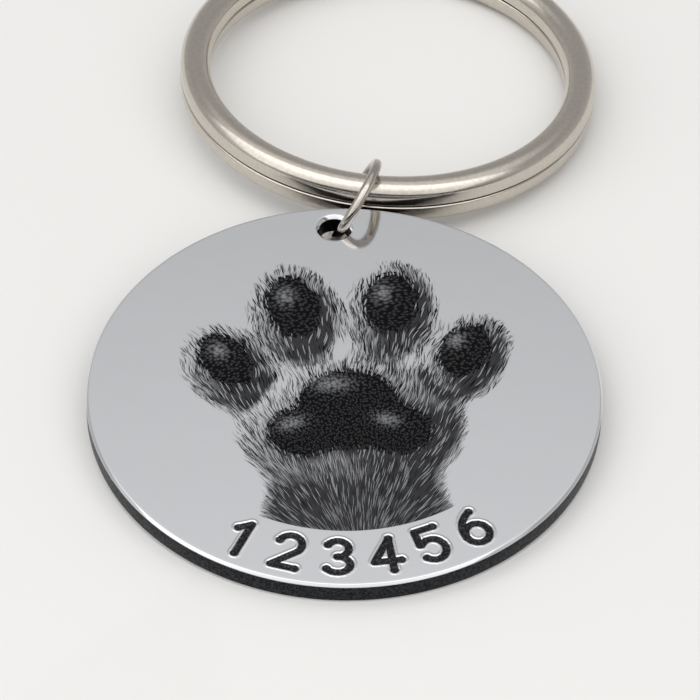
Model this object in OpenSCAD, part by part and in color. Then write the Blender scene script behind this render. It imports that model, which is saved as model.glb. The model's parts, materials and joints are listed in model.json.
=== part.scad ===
// Round pet tag on a jump ring and a split ring, lying loose on a flat surface.
// +Y runs from the tag's middle to its hole, +Z is up, and the origin is on that
// surface, below the middle of the box round all three pieces.
// The tag rests on its near edge and on the jump ring's wire, which passes under
// its far edge. The split ring rests on the same wire and on its own far side.

/* [Tag] */
// Diameter of the round tag
tag_d = 32; // [26:0.5:40]
// Thickness of the sheet that the tag is cut from
tag_t = 1.5; // [1.2:0.05:1.7]
// Width and depth of the edge break round both faces
edge_break = 0.15; // [0.1:0.05:0.3]

/* [Hanging hole] */
// Diameter of the drilled hole
hole_d = 2; // [1.8:0.05:2.6]
// Metal left between the hole and the tag's edge
web_w = 0.9; // [0.7:0.05:1.1]
// Width and depth of the break round the hole's two mouths
hole_break = 0.2; // [0.05:0.05:0.3]

/* [Jump ring] */
// Outer diameter of the jump ring
jump_od = 6.4; // [6.2:0.05:6.8]
// Diameter of the jump ring's wire
jump_wire_d = 0.65; // [0.5:0.05:0.7]
// Slit between the jump ring's two cut ends
jump_slit = 0.08; // [0.04:0.01:0.2]
// How far the slit lies from the ring's lowest point, towards the split ring, degrees
jump_slit_turn = 10; // [-20:1:40]

/* [Split ring] */
// Outer diameter of the split ring
split_od = 28.3; // [24:0.1:34]
// Width of the split ring's wire, across the ring
split_wire_w = 2; // [1.95:0.05:2.1]
// Height of one of the two turns
turn_h = 1.45; // [1.35:0.05:1.5]
// Slit between the two turns
turn_slit = 0.1; // [0.06:0.01:0.16]
// Rounding of a turn's corners away from the slit
crown_r = 0.9; // [0.7:0.05:0.95]
// Rounding of a turn's corners at the slit
seam_r = 0.25; // [0.1:0.05:0.4]
// Stretch over which the wire climbs from the lower turn to the upper one, degrees
climb_angle = 28; // [20:1:40]
// Space between each end of the wire and the climbing stretch
end_space = 0.8; // [0.4:0.1:2]

/* [How the pieces lie] */
// Heading of the jump ring's axis, degrees from +X
jump_heading = -21; // [-24:1:-18]
// Slope of the jump ring's axis, degrees, negative when it points down
jump_slope = -24; // [-27:0.5:-21]
// How far the jump ring's middle stands up from the web, degrees in the ring's plane
jump_swing = 33.5; // [30:0.5:36]
// How far to the right of the hole's middle the jump ring crosses the web
web_crossing = 0.7; // [0.55:0.05:0.75]
// Play between the wire and the web that it hangs on
web_play = 0.12; // [0.08:0.01:0.2]
// Play between the jump ring and the split ring in it
eye_play = 0.24; // [0.16:0.01:0.3]
// Way that the split ring is pushed in the jump ring, degrees in the ring's plane
eye_swing = -18; // [-22:1:-12]
// Heading of the split ring's middle from the jump ring, degrees from +X
split_heading = 78; // [70:0.5:90]
// How far the split ring's fall turns away from that heading, degrees
split_fall_off = 45; // [30:1:60]

/* [Hidden] */
$fn = 96;

// Overrun of each cut past the face that it opens
overrun = 1;

// The tag, flat, with its back on z = 0 and its middle on the z axis
tag_r = tag_d / 2;
hole_r = hole_d / 2;
hole_y = tag_r - web_w - hole_r;
web_mid_r = tag_r - web_w / 2;
foot_y = edge_break - tag_r;

// The jump ring in the flat tag's frame: its axis, and the two ways in its plane
wire_r = jump_wire_d / 2;
jump_mid_r = jump_od / 2 - wire_r;
jump_in_r = jump_mid_r - wire_r;
flat_axis = [cos(jump_slope) * cos(jump_heading), cos(jump_slope) * sin(jump_heading), sin(jump_slope)];
flat_out = [-sin(jump_heading), cos(jump_heading), 0];
flat_up = cross(flat_axis, flat_out);

// The web's half width and half thickness where the jump ring's plane cuts it, and
// the play that lets the ring swing right round the corner that they make
web_half = (web_w / 2 + tag_t / 2 * abs(flat_up.y) / flat_up.z) / flat_out.y;
web_corner = [web_half, tag_t / 2 / flat_up.z];
hang = jump_in_r - norm(web_corner) - web_play;
flat_web = [web_crossing, sqrt(web_mid_r * web_mid_r - web_crossing * web_crossing), tag_t / 2];
flat_jump = flat_web + hang * (cos(jump_swing) * flat_out + sin(jump_swing) * flat_up);

// Lean of the tag at which its near edge and the wire's lowest point touch the
// surface: each pass works it out from the last one's angle
settling_passes = 12;
function surface_up(a) = [0, sin(a), cos(a)];
function wire_drop(a) = let (k = surface_up(a) * flat_axis) jump_mid_r * sqrt(1 - k * k) + wire_r;
function next_lean(a) = asin((wire_drop(a) - flat_jump.z * cos(a)) / (flat_jump.y - foot_y));
function settled(a, passes) = passes == 0 ? a : settled(next_lean(a), passes - 1);
lean = settled(0, settling_passes);

// The same ways and places once the tag has leant over its near edge
function lean_over(v) = [v.x, v.y * cos(lean) - v.z * sin(lean), v.y * sin(lean) + v.z * cos(lean)];
function laid(p) = lean_over(p - [0, foot_y, 0]) + [0, foot_y, 0];
jump_axis = lean_over(flat_axis);
jump_out = lean_over(flat_out);
jump_up = lean_over(flat_up);
jump_at = laid(flat_jump);
web_at = laid(flat_web);

// The split ring's section lies in the jump ring's eye, pushed out and down until
// its lower outer corner is one play from the wire
split_h = 2 * turn_h + turn_slit;
split_mid_r = (split_od - split_wire_w) / 2;
corner_in = split_wire_w / 2 - crown_r;
corner_down = split_h / 2 - crown_r;
eye_way = [cos(eye_swing), sin(eye_swing)];
// How far a point at k can go along a unit way before it is r from the middle
function run_to(way, k, r) = let (q = way * k) sqrt(q * q - k * k + r * r) - q;
eye_run = run_to(eye_way, [corner_in, -corner_down], jump_in_r - crown_r - eye_play);
near_at = jump_at + eye_run * (eye_way.x * jump_out + eye_way.y * jump_up);

// Slope of the split ring at which its far side touches the surface
fall_reach = split_mid_r * (1 + cos(split_fall_off)) + corner_in;
fall_arm = norm([fall_reach, corner_down]);
split_slope = asin((near_at.z - crown_r) / fall_arm) - atan2(corner_down, fall_reach);

// Ways and places in the split ring once it has that slope
fall_heading = split_heading - split_fall_off;
function tipped(v) = [
    v.x * cos(split_slope) + v.z * sin(split_slope), v.y, v.z * cos(split_slope) - v.x * sin(split_slope)
];
function headed(v) = [
    v.x * cos(fall_heading) - v.y * sin(fall_heading), v.x * sin(fall_heading) + v.y * cos(fall_heading), v.z
];
split_axis = headed(tipped([0, 0, 1]));
split_away = headed(tipped([cos(split_fall_off), sin(split_fall_off), 0]));
split_at = near_at + split_mid_r * split_away;

// Middle of the box round the whole
function split_reach(k) = (split_mid_r + corner_in) * sqrt(1 - k * k) + corner_down * abs(k) + crown_r;
left = -tag_r;
right = max(tag_r, split_at.x + split_reach(split_axis.x));
near = foot_y - edge_break * cos(lean) - (tag_t - edge_break) * sin(lean);
far = split_at.y + split_reach(split_axis.y);
middle = [(left + right) / 2, (near + far) / 2, 0];

// The split ring's wire: angles run along it from the middle of its climb, which lies
// at the side away from the tag, so that one end is at -wire_end and one at wire_end
end_angle = end_space / split_mid_r * 180 / PI;
turn_angle = 360 - climb_angle - end_angle;
wire_end = climb_angle / 2 + turn_angle;
climb_h = turn_h + turn_slit;
function climbed(a) = min(max((a + climb_angle / 2) / climb_angle, 0), 1);
function wire_height(a) = turn_h / 2 + climb_h * (1 - cos(180 * climbed(a))) / 2;

// The climbing stretch laps this far into both turns, and is this much smaller
lap_angle = 2;
lap_inset = 0.02;
climb_rings = 14;
corner_steps = 4;

// Gaps between each point of the lower turn and the point one turn on, above it
gap_step = 2;
turn_gaps = [for (a = [-wire_end:gap_step:wire_end - 360]) wire_height(a + 360) - wire_height(a) - turn_h];

// Hinge lines, places and gaps, for whoever mounts or moves the part
swing_axis = jump_axis + [1, 0, 0];
echo(lean = lean, split_slope = split_slope);
echo(jump_hinge_at = web_at - middle, jump_hinge_axis = swing_axis / norm(swing_axis));
echo(split_hinge_at = jump_at - middle, split_hinge_axis = cross(split_away, split_axis));
echo(tag_back_at = laid([0, 0, 0]) - middle, tag_back_way = -lean_over([0, 0, 1]));
echo(tag_face_at = laid([0, 0, tag_t]) - middle);
echo(split_at = split_at - middle, split_axis = split_axis, split_away = split_away);
echo(hole_at = laid([0, hole_y, tag_t / 2]) - middle);
echo(least_gap_between_turns = min(turn_gaps));

// Carries the flat tag to where it lies, leant over its near edge
module lay_tag() {
    translate([0, foot_y, 0] - middle) rotate([lean, 0, 0]) translate([0, -foot_y, 0]) children();
}

// Carries a ring that is flat round the origin to the jump ring's place
module lay_jump_ring() {
    translate(jump_at - middle) rotate([lean, 0, 0]) rotate([0, 90 - jump_slope, jump_heading]) children();
}

// Carries a ring that is flat round the origin to the split ring's place
module lay_split_ring() {
    translate(split_at - middle) rotate([0, split_slope, fall_heading])
        rotate([0, 0, split_fall_off]) children();
}

// Round disc with broken edges and the hole that the jump ring passes through
module tag_blank() {
    color("silver") lay_tag() difference() {
        rotate_extrude() disc_section();
        translate([0, hole_y, 0]) hanging_hole();
    }
}

// Half the disc's section, with its edge broken at both faces
module disc_section() {
    polygon([
        [0, 0], [tag_r - edge_break, 0], [tag_r, edge_break],
        [tag_r, tag_t - edge_break], [tag_r - edge_break, tag_t], [0, tag_t]
    ]);
}

// The drilled hole with both mouths broken
module hanging_hole() {
    wide_r = hole_r + hole_break + overrun;
    translate([0, 0, -overrun]) cylinder(h = tag_t + 2 * overrun, r = hole_r);
    translate([0, 0, tag_t - hole_break]) cylinder(h = hole_break + overrun, r1 = hole_r, r2 = wide_r);
    translate([0, 0, -overrun]) cylinder(h = hole_break + overrun, r1 = wide_r, r2 = hole_r);
}

// One turn of round wire with its two cut ends butted
module jump_ring() {
    slit_angle = jump_slit / jump_mid_r * 180 / PI;
    color("gainsboro") lay_jump_ring() rotate([0, 0, jump_slit_turn + slit_angle / 2])
        rotate_extrude(angle = 360 - slit_angle) translate([jump_mid_r, 0]) circle(r = wire_r, $fn = 48);
}

// Two turns of one wire: the lower turn, the climbing stretch and the upper turn
module split_ring() {
    color("darkgray") lay_split_ring() translate([0, 0, -split_h / 2]) {
        rotate([0, 0, climb_angle / 2 + end_angle]) rotate_extrude(angle = turn_angle) lower_section();
        rotate([0, 0, climb_angle / 2]) rotate_extrude(angle = turn_angle)
            translate([0, split_h]) mirror([0, 1]) lower_section();
        climb();
    }
}

// Points of one rounded corner round [x, y], from an angle on
function corner_points(x, y, r, from, steps) =
    [for (i = [0:steps]) [x + r * cos(from + 90 * i / steps), y + r * sin(from + 90 * i / steps)]];

// Section of the lower turn: large corners below, small ones at the slit above
module lower_section() {
    x = split_mid_r - split_wire_w / 2;
    far_x = x + split_wire_w;
    seam_y = turn_h - seam_r;
    polygon(concat(
        corner_points(x + crown_r, crown_r, crown_r, 180, 12),
        corner_points(far_x - crown_r, crown_r, crown_r, 270, 12),
        corner_points(far_x - seam_r, seam_y, seam_r, 0, 5),
        corner_points(x + seam_r, seam_y, seam_r, 90, 5)
    ));
}

// Section of the climbing stretch at a share of its way up: its large corners pass from
// its underside to its upper side
function climb_outline(share) = let (
    half_w = split_wire_w / 2 - lap_inset,
    half_h = turn_h / 2 - lap_inset,
    lower_r = crown_r + (seam_r - crown_r) * share - lap_inset,
    upper_r = seam_r + (crown_r - seam_r) * share - lap_inset
) [
    for (corner = [[1, 1, 0], [-1, 1, 90], [-1, -1, 180], [1, -1, 270]])
        for (i = [0:corner_steps])
            let (a = corner.z + 90 * i / corner_steps, r = corner.y > 0 ? upper_r : lower_r)
                [corner.x * (half_w - r) + r * cos(a), corner.y * (half_h - r) + r * sin(a)]
];

// The stretch that climbs from the lower turn to the upper one, eased at both ends,
// slightly inside both turns' own sections
module climb() {
    count = len(climb_outline(0));
    from = -climb_angle / 2 - lap_angle;
    step = (climb_angle + 2 * lap_angle) / climb_rings;
    points = [
        for (i = [0:climb_rings])
            for (p = climb_outline(climbed(from + step * i)))
                let (a = from + step * i, out = split_mid_r + p.x)
                    [out * cos(a), out * sin(a), wire_height(a) + p.y]
    ];
    walls = [
        for (i = [0:climb_rings - 1])
            for (k = [0:count - 1])
                let (a = i * count, b = a + count, n = (k + 1) % count)
                    each [[a + k, a + n, b + n], [a + k, b + n, b + k]]
    ];
    first = [for (k = [count - 1:-1:0]) k];
    last = [for (k = [0:count - 1]) climb_rings * count + k];
    polyhedron(points, concat(walls, [first, last]));
}

tag_blank();
jump_ring();
split_ring();
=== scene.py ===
"""Round pet tag on a jump ring and a split ring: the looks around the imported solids.

Every piece is built in its own frame in millimetres and then carried to where the
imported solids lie. The tag is a polished aluminium blank with a picture marked into its
skin and numerals stamped along its near edge, the split ring is nickel-plated steel
and the jump ring is bright drawn wire.
"""

import json
import logging
import math
from abc import ABC, abstractmethod
from dataclasses import dataclass, field
from enum import IntEnum

import bmesh
import bpy
import numpy as np
from mathutils import Matrix, Vector
from mathutils.geometry import delaunay_2d_cdt

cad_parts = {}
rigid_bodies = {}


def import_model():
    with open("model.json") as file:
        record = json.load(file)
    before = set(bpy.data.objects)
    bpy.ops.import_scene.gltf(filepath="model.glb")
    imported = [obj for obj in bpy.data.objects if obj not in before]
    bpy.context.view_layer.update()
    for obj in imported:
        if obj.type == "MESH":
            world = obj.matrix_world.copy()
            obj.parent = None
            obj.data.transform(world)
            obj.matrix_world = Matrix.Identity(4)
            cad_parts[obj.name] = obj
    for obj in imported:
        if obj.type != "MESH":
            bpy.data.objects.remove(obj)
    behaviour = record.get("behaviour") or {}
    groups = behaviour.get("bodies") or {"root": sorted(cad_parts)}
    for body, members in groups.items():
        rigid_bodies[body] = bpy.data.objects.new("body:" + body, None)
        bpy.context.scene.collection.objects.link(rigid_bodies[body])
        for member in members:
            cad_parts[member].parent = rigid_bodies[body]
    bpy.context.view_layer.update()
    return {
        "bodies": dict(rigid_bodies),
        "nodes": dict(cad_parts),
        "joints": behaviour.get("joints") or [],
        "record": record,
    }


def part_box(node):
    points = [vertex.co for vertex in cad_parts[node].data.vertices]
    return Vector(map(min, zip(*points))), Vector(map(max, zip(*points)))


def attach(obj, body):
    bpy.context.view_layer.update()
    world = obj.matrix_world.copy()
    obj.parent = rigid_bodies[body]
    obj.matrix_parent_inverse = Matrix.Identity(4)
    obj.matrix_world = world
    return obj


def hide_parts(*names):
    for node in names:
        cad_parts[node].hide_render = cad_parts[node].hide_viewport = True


MM = 0.001
FULL_TURN = 2 * math.pi
# Vertices that lie this close, in metres, are the same one
MERGE_GAP = 2e-7
# Points of the plane that lie this close, in mm, are the same one
FILL_GAP = 1e-6
# Stops of a colour ramp that lie this close are the same one
STOP_GAP = 1e-4
# Points in each arc of a numeral's strokes
ARC_POINTS = 15
# Most of a noise texture's values lie between these
NOISE_SPAN = (0.3, 0.7)
# A tint goes from one colour to the other between these values of its noise
TINT_SPAN = (0.38, 0.62)
# Rounding of a wire's cut end, as shares of its radius: how far along, and how far in
CUT_END_SHARES = ((0.0, 1.6), (0.15, 1.0), (1.0, 0.0))
# Names under which the points of the tag's face carry the picture
SHAPES_LAYER = "picture_shapes"
TONES_LAYER = "picture_tones"

log = logging.getLogger("pet_tag")


def linear(hex_colour: str) -> tuple[float, float, float, float]:
    """Turns an sRGB hex colour to the linear colour that a shader takes.

    Args:
        hex_colour: Six hex digits after a hash sign.

    Returns:
        Linear red, green, blue and an alpha of 1.
    """
    shares = [int(hex_colour[i : i + 2], 16) / 255 for i in (1, 3, 5)]
    red, green, blue = (c / 12.92 if c <= 0.04045 else ((c + 0.055) / 1.055) ** 2.4 for c in shares)
    return red, green, blue, 1.0


def set_inputs(tree: bpy.types.NodeTree, node: bpy.types.Node, inputs: dict | tuple) -> None:
    """Sets or links a node's inputs.

    Args:
        tree: The tree that the node is in.
        node: The node.
        inputs: Input name or number to a value, an output socket, or a node whose first
            output is meant. A tuple gives them in the order of the node's inputs.
    """
    for key, value in inputs.items() if isinstance(inputs, dict) else enumerate(inputs):
        if isinstance(value, bpy.types.Node):
            value = value.outputs[0]
        if isinstance(value, bpy.types.NodeSocket):
            tree.links.new(value, node.inputs[key])
        else:
            node.inputs[key].default_value = value


def add_node(
    tree: bpy.types.NodeTree, kind: str, inputs: dict | tuple = (), **settings: object
) -> bpy.types.Node:
    """Adds a node with its settings, values and links.

    Args:
        tree: The tree that the node joins.
        kind: Blender's name for the kind of node, without the ShaderNode before it.
        inputs: The node's inputs, as set_inputs takes them.
        **settings: Properties of the node.

    Returns:
        The new node.
    """
    node = tree.nodes.new(f"ShaderNode{kind}")
    for name, value in settings.items():
        setattr(node, name, value)
    set_inputs(tree, node, inputs)
    return node


def new_material(name: str) -> tuple[bpy.types.Material, bpy.types.NodeTree, bpy.types.Node]:
    """Starts a material.

    Args:
        name: The material's name.

    Returns:
        The material, its tree, and the node in it that is the surface.
    """
    finish = bpy.data.materials.new(name)
    finish.use_nodes = True
    return finish, finish.node_tree, finish.node_tree.nodes["Principled BSDF"]


def per_mm(size: float) -> float:
    """Texture scale at which one cell of a pattern is that many millimetres wide."""
    return 1 / (size * MM)


def smooth_share(low: float, high: float, value: np.ndarray) -> np.ndarray:
    """Eased share, from 0 at low to 1 at high, of how far each value has gone."""
    share = np.clip((value - low) / (high - low), 0, 1)
    return share * share * (3 - 2 * share)


def ripple(points: np.ndarray, wave: float) -> np.ndarray:
    """Smooth unevenness between about -1 and 1 that is the same in each run.

    Its waves are bent by one another, and their lengths share no measure, so it doesn't
    repeat within a piece.

    Args:
        points: Places in millimetres, one a row.
        wave: Length of the longest wave in millimetres.

    Returns:
        One number for each place.
    """
    x, y = points[:, 0] * FULL_TURN / wave, points[:, 1] * FULL_TURN / wave
    slow = np.sin(x + 1.7 * np.sin(0.7 * y)) * np.sin(y + 1.3 * np.sin(0.9 * x))
    quick = np.sin(2.3 * x - 1.1 * y + 0.6) * np.sin(1.9 * y + 0.8 * x + 2.1)
    return 0.65 * slow + 0.35 * quick


def rounded(corners: list[tuple[float, float]], radius: float, steps: int = 4) -> np.ndarray:
    """Rounds the inner corners of an open outline.

    Args:
        corners: Points of the outline.
        radius: Radius of each rounding.
        steps: Straight pieces in each rounding.

    Returns:
        The rounded outline, one point a row.
    """
    points = np.array(corners, float)
    outline = [points[0]]
    for before, corner, after in zip(points, points[1:], points[2:]):
        way_in = (corner - before) / np.linalg.norm(corner - before)
        way_out = (after - corner) / np.linalg.norm(after - corner)
        turn = math.acos(float(np.clip(way_in @ way_out, -1, 1)))
        inward = (way_out - way_in) / np.linalg.norm(way_out - way_in)
        middle = corner + inward * radius / math.cos(turn / 2)
        first = corner - way_in * radius * math.tan(turn / 2) - middle
        last = corner + way_out * radius * math.tan(turn / 2) - middle
        for step in range(steps + 1):
            share = step / steps
            spoke = first * math.sin((1 - share) * turn) + last * math.sin(share * turn)
            outline.append(middle + spoke / math.sin(turn))
    outline.append(points[-1])
    return np.array(outline)


def circle(radius: float, count: int, middle: tuple[float, float] = (0.0, 0.0)) -> np.ndarray:
    """Points of a circle, one a row, counter-clockwise from the x axis."""
    angles = np.arange(count) * FULL_TURN / count
    return np.column_stack([middle[0] + radius * np.cos(angles), middle[1] + radius * np.sin(angles)])


def cell_corners(grid: np.ndarray) -> list[np.ndarray]:
    """What a grid holds at the four corners of each of its cells, in turn round the cell."""
    return [grid[:-1, :-1], grid[1:, :-1], grid[1:, 1:], grid[:-1, 1:]]


@dataclass(frozen=True)
class Placement:
    """Where a piece's own frame lies: its origin in metres and its three ways."""

    origin: Vector
    x_way: Vector
    y_way: Vector
    z_way: Vector

    def ways(self) -> np.ndarray:
        """The three ways, one a row."""
        return np.array([self.x_way, self.y_way, self.z_way])

    def carry(self, points: np.ndarray) -> np.ndarray:
        """Carries points from the piece's millimetres to the row's metres."""
        return np.array(self.origin) + MM * points @ self.ways()

    def fetch(self, places: np.ndarray) -> np.ndarray:
        """Takes places in the row's metres back to the piece's millimetres."""
        return (places - np.array(self.origin)) @ self.ways().T / MM


@dataclass
class Shell:
    """Points and faces gathered for one piece, in the piece's own millimetres."""

    points: list[np.ndarray] = field(default_factory=list)
    faces: list[tuple[int, ...]] = field(default_factory=list)
    slots: list[int] = field(default_factory=list)
    count: int = 0

    def add(self, points: np.ndarray, faces: list[tuple[int, ...]], slot: int = 0) -> None:
        """Adds points and the faces that join them.

        Args:
            points: New points, one a row.
            faces: Faces by the numbers of the new points.
            slot: Material slot of the faces.
        """
        self.points.append(points)
        self.faces += [tuple(self.count + i for i in face) for face in faces]
        self.slots += [slot] * len(faces)
        self.count += len(points)

    def add_grid(self, grid: np.ndarray, ring: bool = False, slot: int = 0) -> None:
        """Adds rows of points, with four-sided faces between neighbours.

        Args:
            grid: Points by row and column.
            ring: True if the last column joins the first.
            slot: Material slot of the faces.
        """
        rows, columns = grid.shape[:2]
        numbers = np.arange(rows * columns).reshape(rows, columns)
        if ring:
            numbers = np.column_stack([numbers, numbers[:, 0]])
        faces = np.stack(cell_corners(numbers), axis=-1).reshape(-1, 4).tolist()
        self.add(grid.reshape(-1, 3), faces, slot)

    def build(self, name: str, placement: Placement, finishes: list[bpy.types.Material]) -> bpy.types.Object:
        """Makes the object, with shared points merged, normals outward and smooth shading.

        Args:
            name: The piece's name.
            placement: Where the piece's own frame lies.
            finishes: Materials, in the order of the slots.

        Returns:
            The new object, with its place in its mesh.
        """
        mesh = bpy.data.meshes.new(name)
        mesh.from_pydata(placement.carry(np.concatenate(self.points)).tolist(), [], self.faces)
        mesh.polygons.foreach_set("material_index", self.slots)
        work = bmesh.new()
        work.from_mesh(mesh)
        bmesh.ops.remove_doubles(work, verts=work.verts, dist=MERGE_GAP)
        bmesh.ops.recalc_face_normals(work, faces=work.faces)
        work.to_mesh(mesh)
        work.free()
        mesh.polygons.foreach_set("use_smooth", [True] * len(mesh.polygons))
        for finish in finishes:
            mesh.materials.append(finish)
        piece = bpy.data.objects.new(name, mesh)
        bpy.context.scene.collection.objects.link(piece)
        log.info("%s: %d faces", name, len(mesh.polygons))
        return piece


def flat_fill(loops: list[np.ndarray]) -> tuple[np.ndarray, np.ndarray]:
    """Fills the plane round closed loops with triangles that keep to them.

    Args:
        loops: Closed loops of points, one a row.

    Returns:
        The points and the triangles between them.
    """
    points, edges = [], []
    for loop in loops:
        start, count = len(points), len(loop)
        points += [Vector(p) for p in loop.tolist()]
        edges += [(start + i, start + (i + 1) % count) for i in range(count)]
    found = delaunay_2d_cdt(points, edges, [], 0, FILL_GAP, False)
    return np.array([tuple(p) for p in found[0]]), np.array(found[2])


def dress(piece: bpy.types.Object, body: str, node: str | None = None) -> None:
    """Makes a piece ride on a body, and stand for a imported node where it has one.

    Args:
        piece: The piece.
        body: The body that it rides on.
        node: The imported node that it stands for.
    """
    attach(piece, body)
    if node:
        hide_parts(node)


@dataclass(frozen=True)
class Oval:
    """An oval in the picture: its middle, half sizes in mm and turn in degrees."""

    x: float
    y: float
    half_w: float
    half_h: float
    turn: float = 0.0

    def local(self, points: np.ndarray) -> np.ndarray:
        """Measures places along the oval's own two ways.

        Args:
            points: Places in the picture.

        Returns:
            For each place, how far it is across and along, as shares of the half sizes.
        """
        turn = math.radians(self.turn)
        x, y = points[:, 0] - self.x, points[:, 1] - self.y
        across = x * math.cos(turn) + y * math.sin(turn)
        along = y * math.cos(turn) - x * math.sin(turn)
        return np.column_stack([across / self.half_w, along / self.half_h])

    def depth(self, points: np.ndarray) -> np.ndarray:
        """How deep each place lies inside the oval.

        Args:
            points: Places in the picture.

        Returns:
            Depths in mm, negative outside.
        """
        share = self.local(points)
        reach = np.linalg.norm(share, axis=1)
        slope = np.hypot(share[:, 0] / self.half_w, share[:, 1] / self.half_h)
        # The small number is for the very middle, where both are zero
        return reach * (1 - reach) / (slope + 1e-6)

    def lit(self, points: np.ndarray, light: np.ndarray, swell: float) -> np.ndarray:
        """How strongly the light falls on each place if the oval swells like a cushion.

        Args:
            points: Places in the picture.
            light: Unit way towards the light.
            swell: How round the cushion is, from 0, flat, to 1, a half ball.

        Returns:
            Shares from below 0 to 1.
        """
        turn = math.radians(self.turn)
        share = self.local(points)
        rise = np.sqrt(1 - swell * np.clip(np.sum(share**2, axis=1), 0, 1))
        across, along = share[:, 0] * math.sqrt(swell), share[:, 1] * math.sqrt(swell)
        x = across * math.cos(turn) - along * math.sin(turn)
        y = across * math.sin(turn) + along * math.cos(turn)
        length = np.sqrt(x**2 + y**2 + rise**2)
        return (x * light[0] + y * light[1] + rise * light[2]) / length


def joined(one: np.ndarray, other: np.ndarray, blend: float) -> np.ndarray:
    """Depth inside two shapes joined with a rounded seam.

    Args:
        one: Depths inside the first shape.
        other: Depths inside the second.
        blend: Width of the seam's rounding in mm.

    Returns:
        Depths inside both together.
    """
    share = np.clip(0.5 + 0.5 * (one - other) / blend, 0, 1)
    return other + (one - other) * share + blend * share * (1 - share)


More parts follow.
